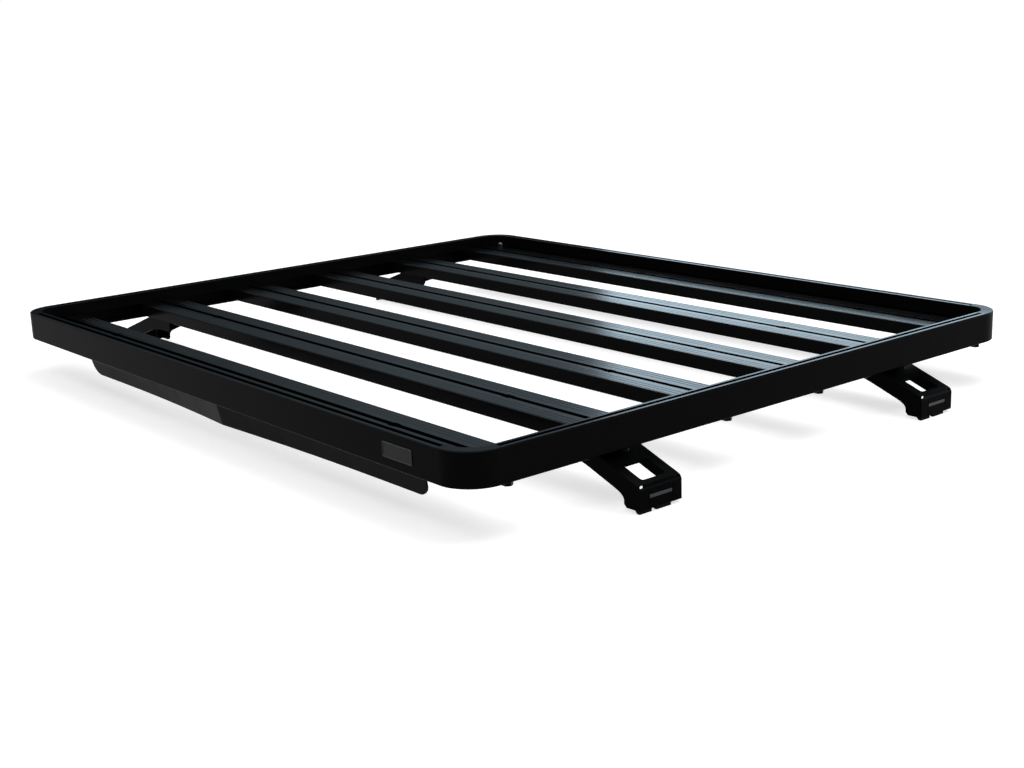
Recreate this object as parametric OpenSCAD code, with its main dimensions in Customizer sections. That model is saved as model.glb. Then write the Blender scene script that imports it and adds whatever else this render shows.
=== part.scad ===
// Truck bed rack: an open tray of slats in a rounded rim, on four folded
// steel feet, with a bowed wind deflector below the front rail.
// X runs across the vehicle, the front (deflector side) is at -Y, Z is up.
// The feet stand on z = 0. Units are millimetres.

/* [Tray] */
// Outer width of the rim, across the vehicle
tray_w = 1345; // [900:5:1500]
// Outer length of the rim, front to rear
tray_l = 1156; // [1000:2:1400]
// Height of the rim profile
rail_h = 49; // [46:0.5:60]
// Width of the rim profile, outer face to inner face
rail_t = 20; // [19:0.5:26]
// Outer radius of the corner castings
corner_r = 55; // [50:1:70]
// Straight leg of a corner casting past its curve
corner_leg = 5; // [3:1:15]
// Height of the rim's lower face above the ground
rim_lift = 70; // [66:1:110]

/* [Slats] */
// Width of a slat
slat_w = 80.5; // [70:0.5:100]
// Height of a slat
slat_h = 22.5; // [22:0.5:24]
// Centre of the first slat from the front face of the rim
slat_edge = 73; // [70:1:90]
// Mouth of the bolt slots in the slats
slat_mouth = 10.4; // [8.4:0.2:11]
// Mouth of the bolt slots in the rails
rail_mouth = 8.4; // [8:0.2:9]
// Width of the bolt slots behind the mouth
slot_hall = 14; // [13.5:0.1:14.5]
// Wall of the aluminium profiles
wall = 2.5; // [2:0.1:3]
// Bolt entry in a slat, from the middle of the slat
entry_x = 423; // [200:1:430]
// Length of a bolt entry
entry_l = 16; // [14:1:24]
// Spacing of the fine grooves between the ribs on the slats
rib_pitch = 8.5; // [7:0.1:9]

/* [Feet] */
// Reach of a foot past the outer face of the rim
foot_reach = 58; // [50:1:90]
// Width of a foot, along the rim
foot_w = 78; // [70:1:90]
// Sheet thickness of a foot
foot_t = 4; // [3:0.5:5]
// Inner end of a foot, inboard of the outer face of the rim
foot_root = 128; // [110:1:180]
// Bend of the arm, inboard of the outer face of the rim
foot_bend = 44.5; // [40:0.5:48]
// Top corner of the leg below the lower face of the rim
foot_fall = 33.5; // [31:0.5:36]
// Depth of the side plates along the arm
arm_depth = 26.5; // [22:0.5:28]
// Depth of the side plates at the inner end
root_depth = 18.5; // [15:0.5:21]
// Leg of a foot, across the vehicle
leg_w = 29; // [26:0.5:40]
// Window in the arm, across the vehicle
window_l = 36; // [20:1:38]
// Window in the arm, along the rim
window_w = 45; // [30:1:50]
// Thickness of the rubber pads
pad_h = 4; // [3:0.5:6]

/* [Wind deflector] */
// Width of the deflector
deflector_w = 1018; // [500:2:1100]
// Lower edge of the deflector below the rim
deflector_drop = 57; // [40:1:60]
// Lower edge of the deflector behind the front face of the rim
deflector_back = 64; // [60:1:70]
// Forward bow of the deflector at its middle
deflector_bow = 22; // [5:1:24]
// Rise of the lower edge at its middle
deflector_rise = 6; // [0:0.5:15]
// Backward lean of the deflector, in degrees
deflector_lean = 14; // [5:1:16]
// Sheet thickness of the deflector
deflector_t = 3; // [2:0.5:4]

/* [Hidden] */

// Places that follow from the sizes above. A cut runs past the face it opens.
half_w = tray_w / 2;
half_l = tray_l / 2;
slat_count = 6;
slat_pitch = (tray_l - 2 * slat_edge) / (slat_count - 1);
front_slat_y = slat_edge - half_l;
foot_y = slat_pitch * 1.5;
corner_size = corner_r + corner_leg;
ledge = 3.5;
slat_z = rim_lift + ledge;
slat_play = 0.3;
slat_reach = corner_r + slat_w / 2 - slat_edge;
edge_break = 0.8;
past = 1;
end_play = 0.5;
slat_l = tray_w - 2 * (wall + 1 + end_play);
rail_hall_h = 6;
slat_hall_h = (slat_h - 3 * wall) / 2;
rib_grooves = 3;
rib_groove = 1.1;
rib_edge = 5;

// Colours of the finishes
rail_black = [0.13, 0.13, 0.14];
slat_black = [0.20, 0.22, 0.24];
steel_black = [0.09, 0.09, 0.10];
rubber_black = [0.05, 0.05, 0.05];
bolt_grey = [0.25, 0.25, 0.27];

// Fasteners
bolt_r = 3.9;
bore_r = 4.2;
bolt_head_r = 7.5;
bolt_head_h = 5.5;
nut_l = 10;
nut_w = 13;
nut_h = 4;
round_fine = 48;

// Middle line of a slat, counted from 0 at the front
function slat_y(index) = front_slat_y + index * slat_pitch;

// Lines of the rim profile, measured inward from its outer face
outer_wall = wall + 1;
channel_top = ledge + slat_h + slat_play;
slot_a = rail_t / 2 + 0.5;
chamber_low = channel_top + wall;
chamber_high = rail_h - 2 * wall - rail_hall_h;
bolt_in = rail_t / 2;

// The corner spigots, with their play in the rails
spigot_play = 0.15;
spigot_t = rail_t - wall - outer_wall - 2 * spigot_play;
spigot_h = chamber_high - chamber_low - 2 * spigot_play;
spigot_side = corner_r - rail_t + wall + spigot_play;
spigot_out = 28;

// Lines of a foot, measured outward from the rim and up from its lower face
arm_angle = atan((ledge + foot_fall) / (foot_reach + foot_bend));
fold_r = 9;
fold_u = foot_reach - fold_r;
fold_z = arm_line(fold_u) - fold_r / cos(arm_angle);
foot_base = pad_h - rim_lift;
window_edge = 12;
window_u = foot_reach - window_edge - window_l / 2;
slit_v = foot_w / 2 - 17;
slit_w = 1.2;
relief_r = 2.2;
relief_in = 12;
relief_back = 5;
relief_up = 0.55;
relief_v = foot_w / 2 - relief_in - relief_back;
relief_run = (fold_r + relief_back + past) / cos(45);
foot_bolt_in = [foot_root - 16, foot_root - 50];

// Cut corners of a side plate, and how far its curves reach from their corner
toe_cut = 4.5;
root_cut = 6;
arch_reach = 16;
turn_out = 30;
turn_in = 24;

// Start and length of each pad along the rim
pad_spans = [[-foot_w / 2, 22], [-8, 26.5]];
pad_in = 8.5;
pad_slope = 4;

// Lines of the deflector
deflector_top_y = deflector_back - half_l - (deflector_drop + ledge) * tan(deflector_lean);
deflector_depth = (deflector_drop + ledge) / cos(deflector_lean);
deflector_lift = (deflector_rise + deflector_bow * sin(deflector_lean)) / cos(deflector_lean);
deflector_corner = 22;
bow_half = deflector_w * 0.4;
bow_steps = [-1, -0.8, -0.6, -0.4, -0.2, -0.1, 0, 0.1, 0.2, 0.4, 0.6, 0.8, 1];
deflector_bolt_x = [-deflector_w * 0.37, 0, deflector_w * 0.37];
flange_back = 12;
flange_short = 30;
flange_inset = 0.95;
sheet_over = 12;

// Points along an arc about [cu, cv]
function arc_points(cu, cv, r, start, end, steps) = [
    for (i = [0:steps])
        let (angle = start + (end - start) * i / steps)
            [cu + r * cos(angle), cv + r * sin(angle)]
];

// Points along a smooth curve from a to c that leans towards b
function blend_points(a, b, c, steps) = [
    for (i = [0:steps])
        let (t = i / steps)
            (1 - t) * (1 - t) * a + 2 * t * (1 - t) * b + t * t * c
];

// The same points in the opposite order
function reversed(points) = [for (i = [len(points) - 1:-1:0]) points[i]];

// Height of the upper face of the arm at u
function arm_line(u) = ledge - (u + foot_bend) * tan(arm_angle);

// Height of the lower edge of the side plates at u
function arm_low(u) = arm_line(u) - arm_depth;

// Share of the bow at x, from 1 at the nose to 0 at the straight ends
function bow_share(x) = pow(max(0, 1 - abs(x) / bow_half), 2);

// Profile of the rim: rounded outer edges, square inner ones
module rim_blank() {
    edge_r = 2;
    polygon(concat(
        arc_points(edge_r, edge_r, edge_r, 180, 270, 4),
        [[rail_t, 0], [rail_t, rail_h - edge_break], [rail_t - edge_break, rail_h]],
        arc_points(edge_r, rail_h - edge_r, edge_r, 90, 180, 4)
    ));
}

// Profile of a rail: the channel for the slats, a chamber for the spigots, a bolt slot
module rail_profile() {
    difference() {
        rim_blank();
        translate([outer_wall, ledge])
            square([rail_t, channel_top - ledge]);
        translate([outer_wall, chamber_low])
            square([rail_t - outer_wall - wall, chamber_high - chamber_low]);
        translate([slot_a - slot_hall / 2, rail_h - wall - rail_hall_h])
            square([slot_hall, rail_hall_h]);
        translate([slot_a - rail_mouth / 2, rail_h - wall - past])
            square([rail_mouth, wall + 2 * past]);
    }
}

module corner_profile() {
    translate([corner_r, 0])
        mirror([1, 0])
            rim_blank();
}

// Plan of the pocket in a corner casting that takes the end of the nearest slat
module slat_pocket() {
    pocket_r = corner_r - outer_wall;
    pocket_run = corner_leg + past;
    translate([0, -pocket_run])
        square([pocket_r, pocket_run]);
    intersection() {
        circle(r = pocket_r, $fn = 96);
        square([corner_r, slat_reach + slat_play]);
    }
}

// A straight rail, run long, whose outer face lies reach in front of the middle
module rail(run, reach) {
    color(rail_black)
        translate([-run / 2, -reach, rim_lift])
            rotate([90, 0, 90])
                linear_extrude(height = run)
                    rail_profile();
}

// A side rail with the bores for the slat bolts in its ledge
module side_rail() {
    difference() {
        rotate([0, 0, 90])
            rail(tray_l - 2 * corner_size, half_w);
        for (i = [0:slat_count - 1])
            translate([half_w - bolt_in, slat_y(i), rim_lift - past])
                cylinder(r = bore_r, h = ledge + 2 * past, $fn = round_fine);
    }
}

// A cast corner about its own centre of curvature, with a spigot in each rail
module corner_casting() {
    color(rail_black) {
        difference() {
            union() {
                rotate_extrude(angle = 90, $fn = 96)
                    corner_profile();
                rotate([90, 0, 0])
                    linear_extrude(height = corner_leg)
                        corner_profile();
                translate([-corner_leg, 0, 0])
                    rotate([90, 0, 90])
                        linear_extrude(height = corner_leg)
                            corner_profile();
            }
            translate([0, 0, ledge])
                linear_extrude(height = channel_top - ledge)
                    slat_pocket();
        }
        translate([spigot_side, -corner_leg - spigot_out, chamber_low + spigot_play])
            cube([spigot_t, spigot_out + past, spigot_h]);
        translate([-corner_leg - spigot_out, spigot_side, chamber_low + spigot_play])
            cube([spigot_out + past, spigot_t, spigot_h]);
    }
}

// side and end are 1 or -1, a casting with -1 is a mirror image of the rear right one
module corner(side, end) {
    translate([side * (half_w - corner_r), end * (half_l - corner_r), rim_lift])
        mirror([(1 - side) / 2, 0, 0])
            mirror([0, (1 - end) / 2, 0])
                corner_casting();
}

// Profile of a slat: bolt slots above and below, a hollow on each side, ribs on top
module slat_profile() {
    edge_r = 2;
    half = slat_w / 2;
    difference() {
        polygon(concat(
            [[-half, edge_break], [edge_break - half, 0], [half - edge_break, 0], [half, edge_break]],
            arc_points(half - edge_r, slat_h - edge_r, edge_r, 0, 90, 4),
            arc_points(edge_r - half, slat_h - edge_r, edge_r, 90, 180, 4)
        ));
        for (low = [wall, slat_h - wall - slat_hall_h])
            translate([-slot_hall / 2, low])
                square([slot_hall, slat_hall_h]);
        for (low = [-past, slat_h - wall - past])
            translate([-slat_mouth / 2, low])
                square([slat_mouth, wall + 2 * past]);
        for (side = [-1, 1])
            translate([side * (slot_hall / 2 + half) / 2, slat_h / 2])
                square([half - slot_hall / 2 - 2 * wall, slat_h - 2 * wall], center = true);
        for (side = [-1, 1])
            for (i = [0:rib_grooves - 1])
                translate([side * (half - rib_edge - i * rib_pitch), slat_h])
                    rotate([0, 0, 45])
                        square(rib_groove, center = true);
    }
}

// A slat at its place, counted from the front
module slat(index) {
    entry_z = slat_z + slat_h - wall - past;
    color(slat_black)
        difference() {
            translate([-slat_l / 2, slat_y(index), slat_z])
                rotate([90, 0, 90])
                    linear_extrude(height = slat_l)
                        slat_profile();
            for (side = [-1, 1])
                translate([side * entry_x - entry_l / 2, slat_y(index) - slot_hall / 2, entry_z])
                    cube([entry_l, slot_hall, wall + 2 * past]);
        }
}

// The room inside the outer wall of the rim, with its round corners
module rim_room() {
    room_r = corner_r - outer_wall - end_play;
    room_w = slat_l;
    room_l = tray_l - 2 * outer_wall - 2 * end_play;
    translate([0, 0, slat_z - past])
        linear_extrude(height = slat_h + 2 * past) {
            square([room_w - 2 * room_r, room_l], center = true);
            square([room_w, room_l - 2 * room_r], center = true);
            for (side = [-1, 1])
                for (end = [-1, 1])
                    translate([side * (room_w / 2 - room_r), end * (room_l / 2 - room_r)])
                        circle(r = room_r, $fn = 96);
        }
}

// The first and the last slat are cut to the curve of the corners
module end_slat(index) {
    intersection() {
        slat(index);
        rim_room();
    }
}

// A bolt from below: head under z = 0, nut in the slot hall grip above it
module slot_bolt(grip) {
    color(bolt_grey) {
        translate([0, 0, -bolt_head_h])
            cylinder(r = bolt_head_r, h = bolt_head_h, $fn = 6);
        translate([0, 0, -past])
            cylinder(r = bolt_r, h = grip + nut_h, $fn = round_fine);
        translate([-nut_l / 2, -nut_w / 2, grip])
            cube([nut_l, nut_w, nut_h]);
    }
}

module side_rail_bolts() {
    for (i = [0:slat_count - 1])
        translate([half_w - bolt_in, slat_y(i), rim_lift])
            slot_bolt(ledge + wall);
}

// Outline of the folded plate of a foot, from its root to the ground end
module folded_plate_profile() {
    inner_bend = foot_bend + foot_t * tan(arm_angle / 2);
    polygon(concat(
        [[-foot_root, ledge], [-foot_bend, ledge]],
        arc_points(fold_u, fold_z, fold_r, 90 - arm_angle, 0, 6),
        [[foot_reach, foot_base], [foot_reach - foot_t, foot_base]],
        arc_points(fold_u, fold_z, fold_r - foot_t, 0, 90 - arm_angle, 6),
        [[-inner_bend, ledge - foot_t], [-foot_root, ledge - foot_t]]
    ));
}

// Outline of a side plate of a foot, with its arched lower edge
module side_plate_profile() {
    leg_u = foot_reach - leg_w;
    root_z = ledge - root_depth;
    turn_u = (arm_depth - root_depth) / tan(arm_angle) + foot_bend;
    polygon(concat(
        [[-foot_root, ledge], [-foot_bend, ledge]],
        arc_points(fold_u, fold_z, fold_r, 90 - arm_angle, 0, 6),
        [[foot_reach, foot_base], [leg_u + toe_cut, foot_base], [leg_u, foot_base + toe_cut]],
        blend_points([leg_u, foot_base + 2 * toe_cut], [leg_u, arm_low(leg_u)],
            [leg_u - arch_reach, arm_low(leg_u - arch_reach)], 5),
        blend_points([turn_out - turn_u, arm_low(turn_out - turn_u)], [-turn_u, root_z],
            [turn_in - foot_root, root_z], 5),
        [[root_cut - foot_root, root_z], [-foot_root, root_z + root_cut]]
    ));
}

// A foot about the point below the rim's outer face on the slat's middle line
module foot_shape() {
    color(steel_black)
        difference() {
            union() {
                translate([0, foot_w / 2, 0])
                    rotate([90, 0, 0])
                        linear_extrude(height = foot_w)
                            folded_plate_profile();
                for (v = [foot_w / 2, foot_t - foot_w / 2])
                    translate([0, v, 0])
                        rotate([90, 0, 0])
                            linear_extrude(height = foot_t)
                                side_plate_profile();
            }
            translate([window_u, 0, -foot_fall - 2 * foot_t])
                linear_extrude(height = foot_fall + ledge + 2 * foot_t)
                    window_outline();
            for (side = [-1, 1]) {
                translate([foot_reach - foot_t - past, side * slit_v - slit_w / 2, foot_base - past])
                    cube([foot_t + 2 * past, slit_w, fold_z - foot_base + past]);
                translate([fold_u - relief_back, side * relief_v, fold_z + relief_up * fold_r])
                    rotate([0, 90, side * 45])
                        cylinder(r = relief_r, h = relief_run, $fn = 24);
            }
            for (in = foot_bolt_in)
                translate([-in, 0, ledge - foot_t - past])
                    cylinder(r = bore_r, h = foot_t + 2 * past, $fn = round_fine);
        }
}

module window_outline() {
    r = 4;
    square([window_l - 2 * r, window_w], center = true);
    square([window_l, window_w - 2 * r], center = true);
    for (side = [-1, 1])
        for (end = [-1, 1])
            translate([side * (window_l / 2 - r), end * (window_w / 2 - r)])
                circle(r = r, $fn = 24);
}

// Two rubber pads under the outer edge of a foot
module pad_shape() {
    color(rubber_black)
        for (span = pad_spans)
            translate([foot_reach, span[0] + span[1], foot_base])
                rotate([90, 0, 0])
                    linear_extrude(height = span[1])
                        polygon([[-pad_in, 0], [0, 0], [0, -pad_h], [pad_slope - pad_in, -pad_h]]);
}

module foot_bolt_shape() {
    for (in = foot_bolt_in)
        translate([-in, 0, ledge - foot_t])
            slot_bolt(foot_t + wall);
}

// Brings a foot's piece to the right side, end is 1 at the rear and -1 in front
module at_right(end) {
    translate([half_w, end * foot_y, rim_lift])
        children();
}

// The same on the left side, as a mirror image
module at_left(end) {
    mirror([1, 0, 0])
        at_right(end)
            children();
}

// Plan of the bowed sheet, its front face on y = 0 at the ends
module bow_plan() {
    xs = concat([-deflector_w / 2], [for (s = bow_steps) s * bow_half], [deflector_w / 2]);
    front = [for (x = xs) [x, -deflector_bow * bow_share(x)]];
    back = [for (x = xs) [x, deflector_t - deflector_bow * bow_share(x)]];
    polygon(concat(front, reversed(back)));
}

// Front view of the sheet: round lower corners and a lower edge that rises to the nose
module bow_front() {
    side = deflector_w / 2 - deflector_corner;
    low = deflector_corner - deflector_depth;
    rise = [for (s = bow_steps) [s * bow_half, deflector_lift * bow_share(s * bow_half) - deflector_depth]];
    polygon(concat(
        arc_points(-side, low, deflector_corner, 180, 270, 5),
        rise,
        arc_points(side, low, deflector_corner, 270, 360, 5),
        [[deflector_w / 2, sheet_over], [-deflector_w / 2, sheet_over]]
    ));
}

// The flange that bolts the sheet to the first slat
module flange_plan() {
    side = deflector_w / 2 - flange_short;
    xs = concat([-side], [for (s = bow_steps) s * bow_half * flange_inset], [side]);
    front = [for (x = xs) [x, deflector_t / 2 - deflector_bow * bow_share(x) / cos(deflector_lean)]];
    back_y = front_slat_y + flange_back - deflector_top_y;
    polygon(concat(front, [[side, back_y], [-side, back_y]]));
}

module front_rail() {
    rail(tray_w - 2 * corner_size, half_l);
}

module rear_rail() {
    rotate([0, 0, 180])
        rail(tray_w - 2 * corner_size, half_l);
}

module left_rail() {
    mirror([1, 0, 0])
        side_rail();
}

module right_rail() {
    side_rail();
}

module corner_front_left() {
    corner(-1, -1);
}

module corner_front_right() {
    corner(1, -1);
}

module corner_rear_left() {
    corner(-1, 1);
}

module corner_rear_right() {
    corner(1, 1);
}

module slat_1() {
    end_slat(0);
}

module slat_2() {
    slat(1);
}

module slat_3() {
    slat(2);
}

module slat_4() {
    slat(3);
}

module slat_5() {
    slat(4);
}

module slat_6() {
    end_slat(5);
}

module left_rail_bolts() {
    mirror([1, 0, 0])
        side_rail_bolts();
}

module right_rail_bolts() {
    side_rail_bolts();
}

module foot_front_left() {
    at_left(-1)
        foot_shape();
}

module foot_front_right() {
    at_right(-1)
        foot_shape();
}

module foot_rear_left() {
    at_left(1)
        foot_shape();
}

module foot_rear_right() {
    at_right(1)
        foot_shape();
}

module pads_front_left() {
    at_left(-1)
        pad_shape();
}

module pads_front_right() {
    at_right(-1)
        pad_shape();
}

module pads_rear_left() {
    at_left(1)
        pad_shape();
}

module pads_rear_right() {
    at_right(1)
        pad_shape();
}

module foot_bolts_front_left() {
    at_left(-1)
        foot_bolt_shape();
}

module foot_bolts_front_right() {
    at_right(-1)
        foot_bolt_shape();
}

module foot_bolts_rear_left() {
    at_left(1)
        foot_bolt_shape();
}

module foot_bolts_rear_right() {
    at_right(1)
        foot_bolt_shape();
}

module wind_deflector() {
    color(steel_black)
        translate([0, deflector_top_y, slat_z])
            difference() {
                union() {
                    rotate([deflector_lean, 0, 0])
                        intersection() {
                            translate([0, 0, -deflector_depth - past])
                                linear_extrude(height = deflector_depth + sheet_over)
                                    bow_plan();
                            translate([0, deflector_t + past, 0])
                                rotate([90, 0, 0])
                                    linear_extrude(height = deflector_bow + deflector_t + 2 * past)
                                        bow_front();
                        }
                    translate([0, 0, -deflector_t])
                        linear_extrude(height = deflector_t)
                            flange_plan();
                }
                translate([-deflector_w, -deflector_back, 0])
                    cube([2 * deflector_w, 2 * deflector_back, 2 * sheet_over]);
                for (x = deflector_bolt_x)
                    translate([x, front_slat_y - deflector_top_y, -deflector_t - past])
                        cylinder(r = bore_r, h = deflector_t + 2 * past, $fn = round_fine);
            }
}

module deflector_bolts() {
    for (x = deflector_bolt_x)
        translate([x, front_slat_y, slat_z - deflector_t])
            slot_bolt(deflector_t + wall);
}

front_rail();
rear_rail();
left_rail();
right_rail();
corner_front_left();
corner_front_right();
corner_rear_left();
corner_rear_right();
slat_1();
slat_2();
slat_3();
slat_4();
slat_5();
slat_6();
left_rail_bolts();
right_rail_bolts();
foot_front_left();
foot_front_right();
foot_rear_left();
foot_rear_right();
pads_front_left();
pads_front_right();
pads_rear_left();
pads_rear_right();
foot_bolts_front_left();
foot_bolts_front_right();
foot_bolts_rear_left();
foot_bolts_rear_right();
wind_deflector();
deflector_bolts();
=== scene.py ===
"""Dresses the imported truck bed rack: finishes, small fittings, studio and camera.

Every length is in metres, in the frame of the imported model: X runs across the
vehicle, the wind deflector is at -Y and the feet stand on z = 0.
"""

import sys

import logging
import math
from dataclasses import dataclass, replace
from enum import Enum

import bmesh
import bpy
from mathutils import Matrix, Vector


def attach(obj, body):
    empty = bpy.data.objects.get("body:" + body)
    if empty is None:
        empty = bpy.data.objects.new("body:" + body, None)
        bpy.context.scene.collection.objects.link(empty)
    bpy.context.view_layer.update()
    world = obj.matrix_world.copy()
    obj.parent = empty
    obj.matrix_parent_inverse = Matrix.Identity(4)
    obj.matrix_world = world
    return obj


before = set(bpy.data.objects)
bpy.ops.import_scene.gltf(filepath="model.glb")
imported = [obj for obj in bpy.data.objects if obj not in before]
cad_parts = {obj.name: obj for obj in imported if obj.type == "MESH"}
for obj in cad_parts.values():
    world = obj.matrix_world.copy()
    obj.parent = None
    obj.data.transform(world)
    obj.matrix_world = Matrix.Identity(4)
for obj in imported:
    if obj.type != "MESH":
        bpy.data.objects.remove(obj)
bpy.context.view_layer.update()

log = logging.getLogger("truck_bed_rack")

MM = 0.001
UP = Vector((0, 0, 1))
# How far a fitted piece reaches into the face that carries it
ROOT_DEPTH = 0.4 * MM
# The middle range of a noise, which holds nearly all of its values
NOISE_LOW = 0.3
NOISE_HIGH = 0.7
# Rays per point that look for an edge to round
EDGE_SAMPLES = 6

Colour = tuple[float, float, float]
Pairs = tuple[tuple[float, float], ...]
Ring = list[Vector]


class Side(Enum):
    """The two sides of the rack, as the sign of X."""

    LEFT = -1
    RIGHT = 1


class End(Enum):
    """The two ends of the rack, as the sign of Y."""

    FRONT = -1
    REAR = 1


class Run(Enum):
    """The way a profile runs, as the stretch of its drawing lines."""

    ACROSS = (0.012, 1.0, 1.0)
    ALONG = (1.0, 0.012, 1.0)
    NONE = (1.0, 1.0, 1.0)


class NodeSheet:
    """The node tree of one material, with short calls that add and join nodes."""

    def __init__(self, name: str) -> None:
        """Makes an empty material with a Principled shader.

        Args:
            name: the material's name.
        """
        self.material = bpy.data.materials.new(name)
        self.material.use_nodes = True
        self.tree = self.material.node_tree
        self.tree.nodes.clear()
        self.shader = self.add("ShaderNodeBsdfPrincipled")
        out = self.add("ShaderNodeOutputMaterial")
        self.join(self.shader.outputs["BSDF"], out.inputs["Surface"])
        self.place = self.add("ShaderNodeTexCoord").outputs["Object"]

    def add(self, kind: str) -> bpy.types.Node:
        """Adds a node of a kind and returns it."""
        return self.tree.nodes.new(kind)

    def join(self, source: bpy.types.NodeSocket, target: bpy.types.NodeSocket) -> None:
        """Links an output socket to an input socket."""
        self.tree.links.new(source, target)

    def noise(self, size: float, detail: float = 2.0, run: Run = Run.NONE) -> bpy.types.NodeSocket:
        """Adds a noise whose features have a given size.

        Args:
            size: size of the features in metres.
            detail: how many finer layers the noise has.
            run: the way the noise is drawn out.

        Returns:
            The socket of the noise's value, from 0 to 1.
        """
        spread = self.add("ShaderNodeMapping")
        spread.inputs["Scale"].default_value = run.value
        self.join(self.place, spread.inputs["Vector"])
        texture = self.add("ShaderNodeTexNoise")
        texture.inputs["Scale"].default_value = 1 / size
        texture.inputs["Detail"].default_value = detail
        self.join(spread.outputs["Vector"], texture.inputs["Vector"])
        return texture.outputs["Fac"]

    def between(self, value: bpy.types.NodeSocket, low: float, high: float) -> bpy.types.NodeSocket:
        """Spreads a noise's middle range over low to high.

        Args:
            value: the socket to spread.
            low: result where the noise is low.
            high: result where the noise is high.

        Returns:
            The socket of the result.
        """
        spread = self.add("ShaderNodeMapRange")
        spread.inputs["From Min"].default_value = NOISE_LOW
        spread.inputs["From Max"].default_value = NOISE_HIGH
        spread.inputs["To Min"].default_value = low
        spread.inputs["To Max"].default_value = high
        self.join(value, spread.inputs["Value"])
        return spread.outputs["Result"]

    def blend(self, share: bpy.types.NodeSocket, first: Colour, second: Colour) -> bpy.types.NodeSocket:
        """Mixes two colours.

        Args:
            share: socket with the share of the second colour.
            first: linear colour where the share is 0.
            second: linear colour where the share is 1.

        Returns:
            The socket of the mixed colour.
        """
        mix = self.add("ShaderNodeMix")
        mix.data_type = "RGBA"
        colours = {s.identifier: s for s in mix.inputs}
        colours["A_Color"].default_value = (*first, 1.0)
        colours["B_Color"].default_value = (*second, 1.0)
        self.join(share, colours["Factor_Float"])
        return next(s for s in mix.outputs if s.identifier == "Result_Color")

    def softened(self, radius: float) -> bpy.types.NodeSocket:
        """Rounds the look of sharp edges.

        Args:
            radius: radius of the rounding in metres.

        Returns:
            The socket of the rounded normal.
        """
        bevel = self.add("ShaderNodeBevel")
        bevel.samples = EDGE_SAMPLES
        bevel.inputs["Radius"].default_value = radius
        return bevel.outputs["Normal"]

    def relief(
        self,
        height: bpy.types.NodeSocket,
        depth: float,
        under: bpy.types.NodeSocket | None = None,
    ) -> bpy.types.NodeSocket:
        """Adds a bump.

        Args:
            height: socket with the height, from 0 to 1.
            depth: depth of the relief in metres.
            under: the normal that it is added to, where there is one.

        Returns:
            The socket of the bumped normal.
        """
        bump = self.add("ShaderNodeBump")
        bump.inputs["Strength"].default_value = 1.0
        bump.inputs["Distance"].default_value = depth
        self.join(height, bump.inputs["Height"])
        if under is not None:
            self.join(under, bump.inputs["Normal"])
        return bump.outputs["Normal"]


def shades(tone: Colour, shares: tuple[float, float]) -> list[Colour]:
    """The dark and the light shade of a tone, as shares of it."""
    return [tuple(c * share for c in tone) for share in shares]


@dataclass(frozen=True)
class PowderCoat:
    """Baked black powder on metal: fine grain, a soft waviness and cloudy gloss."""

    name: str
    tone: Colour
    gloss: tuple[float, float]
    shine: float
    speckle: tuple[float, float] = (0.75, 1.5)
    cloud: float = 60 * MM
    grain: float = 0.7 * MM
    grain_depth: float = 0.012 * MM
    wave: float = 6 * MM
    wave_depth: float = 0.02 * MM
    run: Run = Run.NONE
    drawing: float = 1.2 * MM
    drawing_depth: float = 0.0
    edge: float = 0.0

    def material(self) -> bpy.types.Material:
        """Builds the node tree.

        Returns:
            The finished material.
        """
        sheet = NodeSheet(self.name)
        cloud = sheet.noise(self.cloud, 3.0)
        speck = sheet.between(sheet.noise(self.grain * 2), 0.0, 1.0)
        colour = sheet.blend(speck, *shades(self.tone, self.speckle))
        sheet.join(colour, sheet.shader.inputs["Base Color"])
        sheet.join(sheet.between(cloud, *self.gloss), sheet.shader.inputs["Roughness"])
        softened = sheet.softened(self.edge) if self.edge else None
        normal = sheet.relief(sheet.noise(self.wave, 1.0), self.wave_depth, softened)
        if self.drawing_depth:
            lines = sheet.noise(self.drawing, run=self.run)
            normal = sheet.relief(lines, self.drawing_depth, normal)
        normal = sheet.relief(sheet.noise(self.grain, 3.0), self.grain_depth, normal)
        sheet.join(normal, sheet.shader.inputs["Normal"])
        sheet.shader.inputs["Specular IOR Level"].default_value = self.shine
        return sheet.material


@dataclass(frozen=True)
class Rubber:
    """Matt moulded rubber with a sandy skin and a pale bloom."""

    name: str = "pad_rubber"
    tone: Colour = (0.0016, 0.0016, 0.0017)
    gloss: tuple[float, float] = (0.78, 0.92)
    shine: float = 0.03
    bloom_shares: tuple[float, float] = (1.0, 2.2)
    bloom: float = 9 * MM
    cloud: float = 3 * MM
    skin: float = 0.5 * MM
    skin_depth: float = 0.08 * MM

    def material(self) -> bpy.types.Material:
        """Builds the node tree.

        Returns:
            The finished material.
        """
        sheet = NodeSheet(self.name)
        bloom = sheet.between(sheet.noise(self.bloom, 4.0), 0.0, 1.0)
        colour = sheet.blend(bloom, *shades(self.tone, self.bloom_shares))
        sheet.join(colour, sheet.shader.inputs["Base Color"])
        sheet.join(sheet.between(sheet.noise(self.cloud), *self.gloss), sheet.shader.inputs["Roughness"])
        normal = sheet.relief(sheet.noise(self.skin, 3.0), self.skin_depth)
        sheet.join(normal, sheet.shader.inputs["Normal"])
        sheet.shader.inputs["Specular IOR Level"].default_value = self.shine
        return sheet.material


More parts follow.
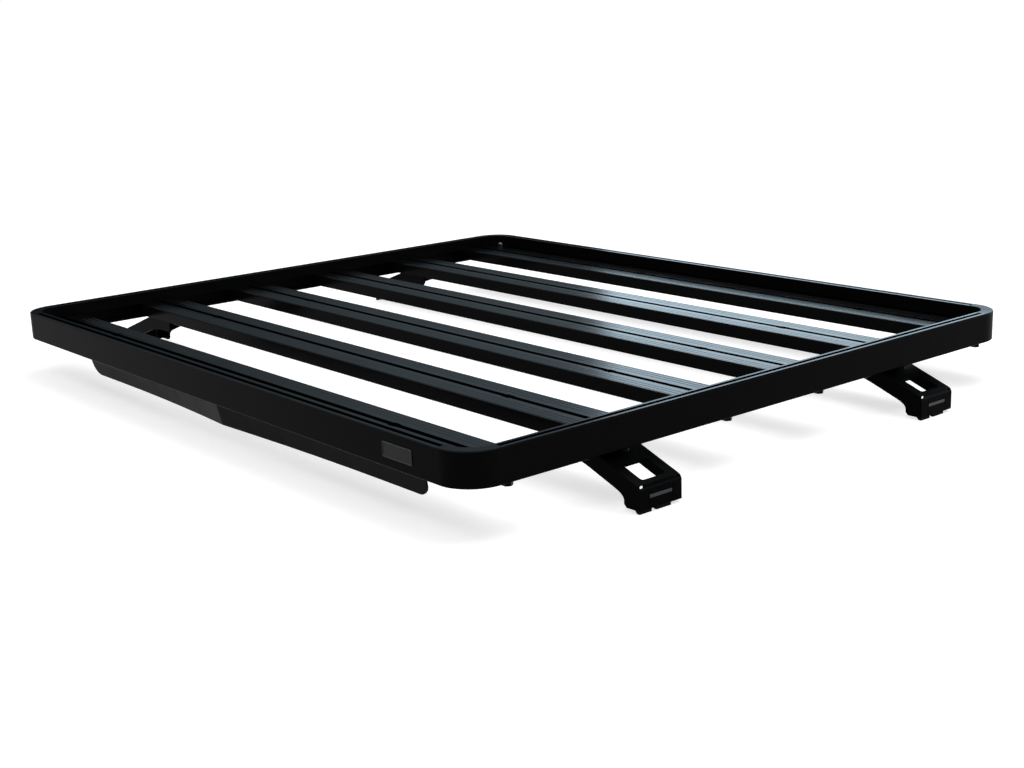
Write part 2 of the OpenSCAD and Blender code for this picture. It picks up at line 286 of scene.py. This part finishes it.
@dataclass(frozen=True)
class PlatedSteel:
    """Bare or plated metal with fine marks, drawn out where it was brushed."""

    name: str
    tone: Colour
    gloss: tuple[float, float]
    run: Run = Run.NONE
    speckle: tuple[float, float] = (0.7, 1.5)
    mark: float = 0.6 * MM
    mark_depth: float = 0.02 * MM

    def material(self) -> bpy.types.Material:
        """Builds the node tree.

        Returns:
            The finished material.
        """
        sheet = NodeSheet(self.name)
        marks = sheet.noise(self.mark, 3.0, self.run)
        colour = sheet.blend(sheet.between(marks, 0.0, 1.0), *shades(self.tone, self.speckle))
        sheet.join(colour, sheet.shader.inputs["Base Color"])
        sheet.join(sheet.between(marks, *self.gloss), sheet.shader.inputs["Roughness"])
        sheet.join(sheet.relief(marks, self.mark_depth), sheet.shader.inputs["Normal"])
        sheet.shader.inputs["Metallic"].default_value = 1.0
        return sheet.material


def rounded_rectangle(width: float, height: float, radius: float, lift: float, steps: int = 5) -> Ring:
    """Points of a rectangle with round corners, in the plane z = lift.

    Args:
        width: size along X.
        height: size along Y.
        radius: radius of the corners.
        lift: height of the ring.
        steps: pieces of each corner's arc.

    Returns:
        The ring's points, counter-clockwise.
    """
    ring: Ring = []
    centres = ((1, 1), (-1, 1), (-1, -1), (1, -1))
    for quarter, (sx, sy) in enumerate(centres):
        cx, cy = sx * (width / 2 - radius), sy * (height / 2 - radius)
        for i in range(steps + 1):
            angle = math.pi / 2 * (quarter + i / steps)
            ring.append(Vector((cx + radius * math.cos(angle), cy + radius * math.sin(angle), lift)))
    return ring


def circle_ring(radius: float, lift: float, count: int = 36) -> Ring:
    """Points of a circle in the plane z = lift, counter-clockwise."""
    turns = [2 * math.pi * i / count for i in range(count)]
    return [Vector((radius * math.cos(t), radius * math.sin(t), lift)) for t in turns]


def hex_ring(radius: float, lift: float, count: int = 36) -> Ring:
    """Points of a hexagon in the plane z = lift.

    Args:
        radius: distance from the middle to a corner.
        lift: height of the ring.
        count: number of points, a multiple of six.

    Returns:
        The ring's points, counter-clockwise.
    """
    per_side = count // 6
    corners = circle_ring(radius, lift, 6)
    sides = zip(corners, corners[1:] + corners[:1])
    return [start.lerp(stop, i / per_side) for start, stop in sides for i in range(per_side)]


def placed(name: str, data: bpy.types.ID) -> bpy.types.Object:
    """Makes an object of a mesh, lamp or camera and puts it in the scene.

    Args:
        name: the object's name.
        data: the mesh, lamp or camera.

    Returns:
        The new object.
    """
    made = bpy.data.objects.new(name, data)
    bpy.context.scene.collection.objects.link(made)
    return made


def lofted(name: str, rings: list[Ring], place: Matrix, looped: bool = False) -> bpy.types.Object:
    """Builds a closed piece through rings of equal count.

    Args:
        name: the piece's name.
        rings: the rings, from the hidden back to the visible front.
        place: where the piece goes in the frame.
        looped: whether the last ring joins the first, in place of two end faces.

    Returns:
        The new object, which rides on the rack.
    """
    mesh = bpy.data.meshes.new(name)
    built = bmesh.new()
    rows = [[built.verts.new(p) for p in ring] for ring in rings]
    for lower, upper in zip(rows, rows[1:] + rows[:1] if looped else rows[1:]):
        for i, corner in enumerate(lower):
            j = (i + 1) % len(lower)
            built.faces.new((corner, lower[j], upper[j], upper[i]))
    if not looped:
        built.faces.new(reversed(rows[0]))
        built.faces.new(rows[-1])
    bmesh.ops.recalc_face_normals(built, faces=built.faces)
    built.to_mesh(mesh)
    built.free()
    piece = placed(name, mesh)
    piece.matrix_world = place
    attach(piece, "root")
    return piece


def facing(place: Vector, outward: Vector) -> Matrix:
    """The placing that turns a piece's Z outward and its Y up.

    Args:
        place: where the piece's origin goes.
        outward: the way the piece faces.

    Returns:
        The matrix of that placing.
    """
    z = outward.normalized()
    x = UP.cross(z).normalized()
    y = z.cross(x)
    turned = Matrix((x, y, z)).transposed().to_4x4()
    return Matrix.Translation(place) @ turned


def dress(piece: bpy.types.Object, finish: bpy.types.Material) -> None:
    """Gives a piece one finish all over.

    Args:
        piece: the piece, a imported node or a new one.
        finish: the material.
    """
    if piece.data.materials:
        for i in range(len(piece.data.materials)):
            piece.data.materials[i] = finish
    else:
        piece.data.materials.append(finish)

def corner_name(side: Side, end: End) -> str:
    """The words for a corner in the names of nodes and pieces."""
    return f"{end.name.lower()}_{side.name.lower()}"



@dataclass
class Rim:
    """The rails and corner castings, and the screws inside the corners.

    A profile is a row of pairs: shares of the screw head's radius and height.
    """

    coat: PowderCoat
    cast_coat: PowderCoat
    screw_finish: PlatedSteel
    drawing_depth: float = 0.01 * MM
    half_width: float = 672.5 * MM
    half_length: float = 578 * MM
    corner_radius: float = 55 * MM
    inner_radius: float = 35 * MM
    screw_height: float = 97 * MM
    screw_turn: float = 62.0
    head_radius: float = 6.6 * MM
    head_height: float = 3.6 * MM
    head_root: float = 1.2 * MM
    head_sink: float = 0.2 * MM
    head_profile: Pairs = ((1.0, 0.25), (0.96, 0.45), (0.86, 0.7), (0.72, 0.9), (0.58, 1.0))
    socket_profile: Pairs = ((0.46, 1.0), (0.44, 0.92), (0.42, 0.35))

    def rail_coat(self, run: Run) -> bpy.types.Material:
        """The coat of a rail, with drawing lines along its run."""
        name = f"rail_{run.name.lower()}_coat"
        return replace(self.coat, name=name, run=run, drawing_depth=self.drawing_depth).material()

    def build(self) -> None:
        """Dresses rails and corners and adds the corner screws."""
        across = self.rail_coat(Run.ACROSS)
        along = self.rail_coat(Run.ALONG)
        cast = self.cast_coat.material()
        for end in End:
            dress(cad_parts[f"{end.name.lower()}_rail"], across)
        for side in Side:
            dress(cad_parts[f"{side.name.lower()}_rail"], along)
            for end in End:
                dress(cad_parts[f"corner_{corner_name(side, end)}"], cast)
        bright = self.screw_finish.material()
        for side in Side:
            for end in End:
                self.corner_screw(side, end, bright)
        log.info("rim: 4 rails, 4 corner castings, 4 corner screws")

    def corner_screw(self, side: Side, end: End, finish: bpy.types.Material) -> None:
        """Adds the round screw head on the inside of one corner.

        Args:
            side: the corner's side.
            end: the corner's end.
            finish: the screw's material.
        """
        turn = math.radians(self.screw_turn)
        reach = Vector((side.value * math.cos(turn), end.value * math.sin(turn), 0))
        middle = Vector(
            (
                side.value * (self.half_width - self.corner_radius),
                end.value * (self.half_length - self.corner_radius),
                self.screw_height,
            )
        )
        seat = middle + reach * (self.inner_radius - self.head_sink)
        r, h = self.head_radius, self.head_height
        rings = [circle_ring(r, -self.head_root)]
        rings += [circle_ring(out * r, up * h) for out, up in self.head_profile]
        rings += [hex_ring(out * r, up * h) for out, up in self.socket_profile]
        screw = lofted(f"corner_screw_{corner_name(side, end)}", rings, facing(seat, -reach))
        dress(screw, finish)


@dataclass
class SlatDeck:
    """The six cross slats and the bolts that hold them from below."""

    coat: PowderCoat
    bolt_finish: PlatedSteel
    count: int = 6

    def build(self) -> None:
        """Dresses the slats and their bolts."""
        satin = self.coat.material()
        for number in range(1, self.count + 1):
            dress(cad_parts[f"slat_{number}"], satin)
        plated = self.bolt_finish.material()
        for side in Side:
            dress(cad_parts[f"{side.name.lower()}_rail_bolts"], plated)
        log.info("deck: %d slats, %d slat bolts", self.count, 2 * self.count)


@dataclass
class Foot:
    """One folded foot with its pads, its bolts and the bare strip on its end face."""

    side: Side
    end: End
    coat: bpy.types.Material
    rubber: bpy.types.Material
    plated: bpy.types.Material
    strip_finish: bpy.types.Material
    end_face: float = 730.5 * MM
    middle: float = 303 * MM
    strip_width: float = 41 * MM
    strip_height: float = 4.5 * MM
    strip_middle: float = 21.0 * MM
    strip_thickness: float = 0.5 * MM
    strip_corner: float = 0.8 * MM
    corner_step: float = 0.1 * MM

    def build(self) -> None:
        """Dresses the foot's nodes and adds its strip."""
        where = corner_name(self.side, self.end)
        dress(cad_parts[f"foot_{where}"], self.coat)
        dress(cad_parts[f"pads_{where}"], self.rubber)
        dress(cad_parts[f"foot_bolts_{where}"], self.plated)
        self.strip(where)
        log.info("foot %s: folded plate, pads, bolts, strip", where)

    def strip(self, where: str) -> None:
        """Adds the narrow bare strip on the end face.

        Args:
            where: end and side of the foot, for the piece's name.
        """
        t, w, h = self.strip_thickness, self.strip_width, self.strip_height
        corner, step = self.strip_corner, self.corner_step
        rings = [
            rounded_rectangle(w, h, corner, -ROOT_DEPTH),
            rounded_rectangle(w, h, corner, 0.6 * t),
            rounded_rectangle(w - 0.4 * t, h - 0.4 * t, corner - step, 0.9 * t),
            rounded_rectangle(w - t, h - t, corner - 2 * step, t),
        ]
        seat = Vector((self.side.value * self.end_face, self.end.value * self.middle, self.strip_middle))
        outward = Vector((self.side.value, 0, 0))
        strip = lofted(f"foot_strip_{where}", rings, facing(seat, outward))
        dress(strip, self.strip_finish)


@dataclass
class WindDeflector:
    """The bowed sheet under the front rail and its bolts."""

    coat: PowderCoat
    bolt_finish: bpy.types.Material

    def build(self) -> None:
        """Dresses the sheet and its bolts."""
        dress(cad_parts["wind_deflector"], self.coat.material())
        dress(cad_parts["deflector_bolts"], self.bolt_finish)
        log.info("wind deflector: sheet, 3 bolts")


@dataclass
class FrontPlate:
    """The small bare plate on the front rail, with a raised border."""

    finish: PlatedSteel
    border_finish: PlatedSteel
    middle: Vector = Vector((531 * MM, -578 * MM, 94.4 * MM))
    width: float = 65 * MM
    height: float = 21 * MM
    thickness: float = 1.2 * MM
    border: float = 1.3 * MM
    corner: float = 1.2 * MM
    field_bevel: float = 0.2 * MM
    border_chamfer: float = 0.5 * MM
    border_slope: float = 0.4 * MM

    def build(self) -> None:
        """Adds the plate and its border."""
        place = facing(self.middle, Vector((0, -1, 0)))
        plate = lofted("front_plate", self.field_rings(), place)
        dress(plate, self.finish.material())
        border = lofted("front_plate_border", self.border_rings(), place, looped=True)
        dress(border, self.border_finish.material())
        log.info("front plate: bare field, border")

    def field_rings(self) -> list[Ring]:
        """Rings of the field, which ends under the middle of the border."""
        w, h, t = self.width - self.border, self.height - self.border, self.thickness
        bevel = self.field_bevel
        return [
            rounded_rectangle(w, h, self.corner, -ROOT_DEPTH),
            rounded_rectangle(w, h, self.corner, 0.5 * t),
            rounded_rectangle(w - bevel, h - bevel, self.corner - bevel / 2, 0.6 * t),
        ]

    def border_rings(self) -> list[Ring]:
        """Rings of the border's section, in order around it.

        Returns:
            The rings, from the inner edge at the rail to the inner edge in front.
        """
        w, h, t = self.width, self.height, self.thickness
        inner_w, inner_h = w - 2 * self.border, h - 2 * self.border
        inner_corner = self.corner - self.border / 2
        chamfer, slope = self.border_chamfer, self.border_slope
        return [
            rounded_rectangle(inner_w, inner_h, inner_corner, -ROOT_DEPTH),
            rounded_rectangle(w, h, self.corner, -ROOT_DEPTH),
            rounded_rectangle(w, h, self.corner, 0.75 * t),
            rounded_rectangle(w - chamfer, h - chamfer, self.corner, t),
            rounded_rectangle(inner_w + slope, inner_h + slope, inner_corner, t),
            rounded_rectangle(inner_w, inner_h, inner_corner, 0.8 * t),
        ]


def even(turns: range | tuple[float, ...]) -> Pairs:
    """Spans with the full glow at every turn."""
    return tuple((turn, 1.0) for turn in turns)


@dataclass
class Studio:
    """Pale floor, one soft lamp, white background and the cards that the gloss sees."""

    floor_half: float = 400.0
    floor_tone: float = 0.8
    floor_glow: float = 0.62
    floor_shade: float = 0.65
    soft_level: float = 0.6
    window_tone: Colour = (4.9, 6.3, 7.3)
    wall_tone: Colour = (0.46, 0.59, 0.68)
    dome_tone: Colour = (0.86, 1.0, 1.1)
    lamp_size: tuple[float, float] = (3.2, 2.6)
    lamp_power: float = 62.0
    lamp_place: Vector = Vector((0.3, 0.6, 3.0))
    lamp_target: Vector = Vector((0, 0, 0.1))

    def build(self) -> None:
        """Sets floor, world, lamp and cards."""
        self.floor()
        self.world()
        self.lamp()
        self.cards()
        log.info("studio: floor, world, lamp, 5 cards")

    @staticmethod
    def seen_rays(tree: bpy.types.NodeTree) -> bpy.types.NodeSocket:
        """The share of rays that show the background: camera, glossy and transmission.

        Args:
            tree: the node tree to add to.

        Returns:
            A socket that is 1 for those rays and 0 for the others.
        """
        path = tree.nodes.new("ShaderNodeLightPath")
        share = path.outputs["Is Camera Ray"]
        for kind in ("Is Glossy Ray", "Is Transmission Ray"):
            larger = tree.nodes.new("ShaderNodeMath")
            larger.operation = "MAXIMUM"
            tree.links.new(share, larger.inputs[0])
            tree.links.new(path.outputs[kind], larger.inputs[1])
            share = larger.outputs[0]
        return share

    def floor(self) -> None:
        """Makes the pale floor, which stays white where no shadow falls."""
        mesh = bpy.data.meshes.new("floor")
        built = bmesh.new()
        bmesh.ops.create_grid(built, x_segments=2, y_segments=2, size=self.floor_half)
        built.to_mesh(mesh)
        built.free()
        floor = placed("floor", mesh)
        material = bpy.data.materials.new("pale_floor")
        material.use_nodes = True
        tree = material.node_tree
        tree.nodes.clear()
        out = tree.nodes.new("ShaderNodeOutputMaterial")
        plain = tree.nodes.new("ShaderNodeBsdfDiffuse")
        plain.inputs["Color"].default_value = (self.floor_tone,) * 3 + (1.0,)
        shaded = tree.nodes.new("ShaderNodeBsdfDiffuse")
        shaded.inputs["Color"].default_value = (self.floor_shade,) * 3 + (1.0,)
        glow = tree.nodes.new("ShaderNodeEmission")
        glow.inputs["Strength"].default_value = self.floor_glow
        both = tree.nodes.new("ShaderNodeAddShader")
        mix = tree.nodes.new("ShaderNodeMixShader")
        tree.links.new(shaded.outputs[0], both.inputs[0])
        tree.links.new(glow.outputs[0], both.inputs[1])
        tree.links.new(self.seen_rays(tree), mix.inputs[0])
        tree.links.new(plain.outputs[0], mix.inputs[1])
        tree.links.new(both.outputs[0], mix.inputs[2])
        tree.links.new(mix.outputs[0], out.inputs["Surface"])
        dress(floor, material)

    def world(self) -> None:
        """Lights the set evenly and shows white where the background is seen."""
        world = bpy.data.worlds.new("studio")
        bpy.context.scene.world = world
        world.use_nodes = True
        tree = world.node_tree
        tree.nodes.clear()
        out = tree.nodes.new("ShaderNodeOutputWorld")
        soft = tree.nodes.new("ShaderNodeBackground")
        soft.inputs["Color"].default_value = (1, 1, 1, 1)
        soft.inputs["Strength"].default_value = self.soft_level
        white = tree.nodes.new("ShaderNodeBackground")
        white.inputs["Color"].default_value = (1, 1, 1, 1)
        white.inputs["Strength"].default_value = 1.0
        mix = tree.nodes.new("ShaderNodeMixShader")
        tree.links.new(self.seen_rays(tree), mix.inputs[0])
        tree.links.new(soft.outputs[0], mix.inputs[1])
        tree.links.new(white.outputs[0], mix.inputs[2])
        tree.links.new(mix.outputs[0], out.inputs["Surface"])

    def lamp(self) -> None:
        """Hangs one wide soft lamp over the rack."""
        light = bpy.data.lights.new("overhead_softbox", "AREA")
        light.shape = "RECTANGLE"
        light.size, light.size_y = self.lamp_size
        light.energy = self.lamp_power
        lamp = placed("overhead_softbox", light)
        lamp.location = self.lamp_place
        aim = self.lamp_target - self.lamp_place
        lamp.rotation_euler = aim.to_track_quat("-Z", "Y").to_euler()

    def cards(self) -> None:
        """Stands the window and wall cards about the rack and the three domes over it."""
        GlowCard(
            "window_card",
            even((43.1, 58, 74, 90, 108, 125, 142)),
            ((0.0, 0.3), (0.6, 0.95), (0.85, 0.91), (1.07, 1.02), (1.9, 1.02)),
            self.window_tone,
        ).build()
        GlowCard(
            "wall_card",
            ((42.9, 1.7), (40, 1.55), (38, 1.42), (36, 1.28), (34, 1.15))
            + ((31, 0.82), (28, 0.62), (24, 0.4), (10, 0.2)),
            ((0.0, 0.0), (0.6, 0.33), (0.7, 0.45), (0.8, 0.64))
            + ((0.9, 0.86), (1.0, 1.0), (1.4, 1.35), (3.4, 1.35)),
            self.wall_tone,
        ).build()
        GlowDome(
            "far_wall_card",
            ((150, 0.2), *even((165, 210, 255, 300, 345)), (360, 0.6), (370, 0.1)),
            ((1.5, 0.0), (2.0, 2.0), (2.6, 3.0), (3.6, 4.5), (4.3, 5.5), (5.2, 6.5), (6.06, 7.5)),
            self.dome_tone,
        ).build()
        GlowDome(
            "upper_wall_card",
            even(range(10, 151, 10)),
            ((2.9, 0.45), (4.3, 0.4), (5.4, 0.45), (6.06, 1.5)),
            self.dome_tone,
        ).build()
        GlowDome(
            "ceiling_card",
            even(range(0, 361, 15)),
            ((6.06, 2.0), (6.5, 6.0), (6.8, 10.0), (6.99, 12.0)),
            self.dome_tone,
        ).build()


@dataclass(frozen=True)
class GlowCard:
    """A card on an arc about the camera that only glossy reflections see.

    Attributes:
        name: the card's name.
        spans: turns in degrees from -X towards +Y, with the share of glow there.
        levels: heights above the floor, with the share of glow there.
        tone: linear colour of the light at full glow.
        centre: X and Y of the arc's middle.
        radius: radius of the arc.
    """

    name: str
    spans: Pairs
    levels: Pairs
    tone: Colour
    centre: tuple[float, float] = (2.06, -1.64)
    radius: float = 6.05

    def reach(self, height: float) -> float:
        """How far from its centre the card stands at a height."""
        return self.radius

    def build(self) -> None:
        """Builds the card: its glow changes along its spans and over its levels."""
        mesh = bpy.data.meshes.new(self.name)
        points, glows = [], []
        for height, level in self.levels:
            for turn, share in self.spans:
                angle = math.radians(180 - turn)
                points.append(
                    (
                        self.centre[0] + self.reach(height) * math.cos(angle),
                        self.centre[1] + self.reach(height) * math.sin(angle),
                        height,
                    )
                )
                glows.append((*(c * level * share for c in self.tone), 1.0))
        row = len(self.spans)
        starts = [i + row * k for k in range(len(self.levels) - 1) for i in range(row - 1)]
        mesh.from_pydata(points, [], [(i, i + 1, i + row + 1, i + row) for i in starts])
        layer = mesh.color_attributes.new("glow", "FLOAT_COLOR", "POINT")
        for i, glow in enumerate(glows):
            layer.data[i].color = glow
        card = placed(self.name, mesh)
        dress(card, self.material())
        card.visible_camera = False
        card.visible_diffuse = False
        card.visible_transmission = False
        card.visible_shadow = False

    def material(self) -> bpy.types.Material:
        """Builds the card's own light from the glow of its points.

        Returns:
            The finished material.
        """
        material = bpy.data.materials.new(self.name)
        material.use_nodes = True
        tree = material.node_tree
        tree.nodes.clear()
        glow = tree.nodes.new("ShaderNodeVertexColor")
        glow.layer_name = "glow"
        light = tree.nodes.new("ShaderNodeEmission")
        out = tree.nodes.new("ShaderNodeOutputMaterial")
        tree.links.new(glow.outputs["Color"], light.inputs["Color"])
        tree.links.new(light.outputs[0], out.inputs["Surface"])
        return material


@dataclass(frozen=True)
class GlowDome(GlowCard):
    """A card bent to a dome over the rack, for the sheen that other sides show."""

    centre: tuple[float, float] = (0.0, 0.0)
    radius: float = 7.0

    def reach(self, height: float) -> float:
        """How far from its middle axis the dome stands at a height."""
        return math.sqrt(self.radius**2 - height**2)


@dataclass
class Viewpoint:
    """The camera at the photograph's viewing angle."""

    place: Vector = Vector((2.06076, -1.64032, 0.65754))
    yaw: float = 50.599
    pitch: float = 14.420
    roll: float = -2.118
    lens: float = 53.2145
    sensor: float = 36.0
    nearest: float = 0.05
    farthest: float = 2000.0

    def build(self) -> None:
        """Makes the camera and hands it to the scene."""
        yaw, pitch, roll = (math.radians(a) for a in (self.yaw, self.pitch, self.roll))
        back = Vector((math.sin(yaw) * math.cos(pitch), -math.cos(yaw) * math.cos(pitch), math.sin(pitch)))
        right = (-back).cross(UP).normalized()
        up = right.cross(-back)
        tilted_right = right * math.cos(roll) + up * math.sin(roll)
        tilted_up = up * math.cos(roll) - right * math.sin(roll)
        data = bpy.data.cameras.new("photo_view")
        data.sensor_fit = "HORIZONTAL"
        data.sensor_width = self.sensor
        data.lens = self.lens
        data.clip_start, data.clip_end = self.nearest, self.farthest
        camera = placed("photo_view", data)
        turned = Matrix((tilted_right, tilted_up, back)).transposed().to_4x4()
        camera.matrix_world = Matrix.Translation(self.place) @ turned
        bpy.context.scene.camera = camera
        log.info("camera: yaw %.2f, pitch %.2f, roll %.2f", self.yaw, self.pitch, self.roll)


def main() -> None:
    """Builds the classes in order: camera, studio, rim, deck, feet, deflector, plate."""
    logging.basicConfig(level=logging.INFO, format="%(name)s: %(message)s", stream=sys.stdout)
    bpy.context.scene.view_settings.view_transform = "Standard"
    Viewpoint().build()
    Studio().build()
    rim_coat = PowderCoat("rim_coat", (0.002, 0.002, 0.002), (0.17, 0.24), shine=0.0105)
    cast_coat = PowderCoat("cast_coat", (0.0014, 0.0014, 0.0014), (0.34, 0.44), shine=0.012)
    screw_zinc = PlatedSteel("screw_zinc", (0.03, 0.03, 0.032), (0.25, 0.4))
    Rim(rim_coat, cast_coat, screw_zinc).build()
    slat_coat = PowderCoat(
        "slat_coat",
        (0.002, 0.0021, 0.0022),
        (0.17, 0.22),
        shine=0.0135,
        run=Run.ACROSS,
        drawing_depth=0.004 * MM,
    )
    black_zinc = PlatedSteel("black_zinc", (0.0025, 0.0025, 0.0027), (0.38, 0.55))
    SlatDeck(slat_coat, black_zinc).build()
    foot_coat = PowderCoat("foot_coat", (0.001, 0.001, 0.001), (0.26, 0.34), shine=0.0085, edge=0.5 * MM)
    folded = foot_coat.material()
    rubber = Rubber().material()
    foot_bolts = replace(black_zinc, name="foot_bolt_zinc").material()
    strip = PlatedSteel("strip_metal", (0.028, 0.028, 0.028), (0.3, 0.45), Run.ALONG).material()
    for side in Side:
        for end in End:
            Foot(side, end, folded, rubber, foot_bolts, strip).build()
    deflector_coat = PowderCoat("deflector_coat", (0.0026, 0.0026, 0.0026), (0.26, 0.34), shine=0.018)
    WindDeflector(deflector_coat, foot_bolts).build()
    plate_metal = PlatedSteel("plate_metal", (0.0055, 0.0055, 0.0057), (0.35, 0.5), Run.ACROSS)
    border_metal = PlatedSteel("plate_border_metal", (0.012, 0.012, 0.012), (0.3, 0.4), Run.ACROSS)
    FrontPlate(plate_metal, border_metal).build()


if __name__ == "__main__":
    main()
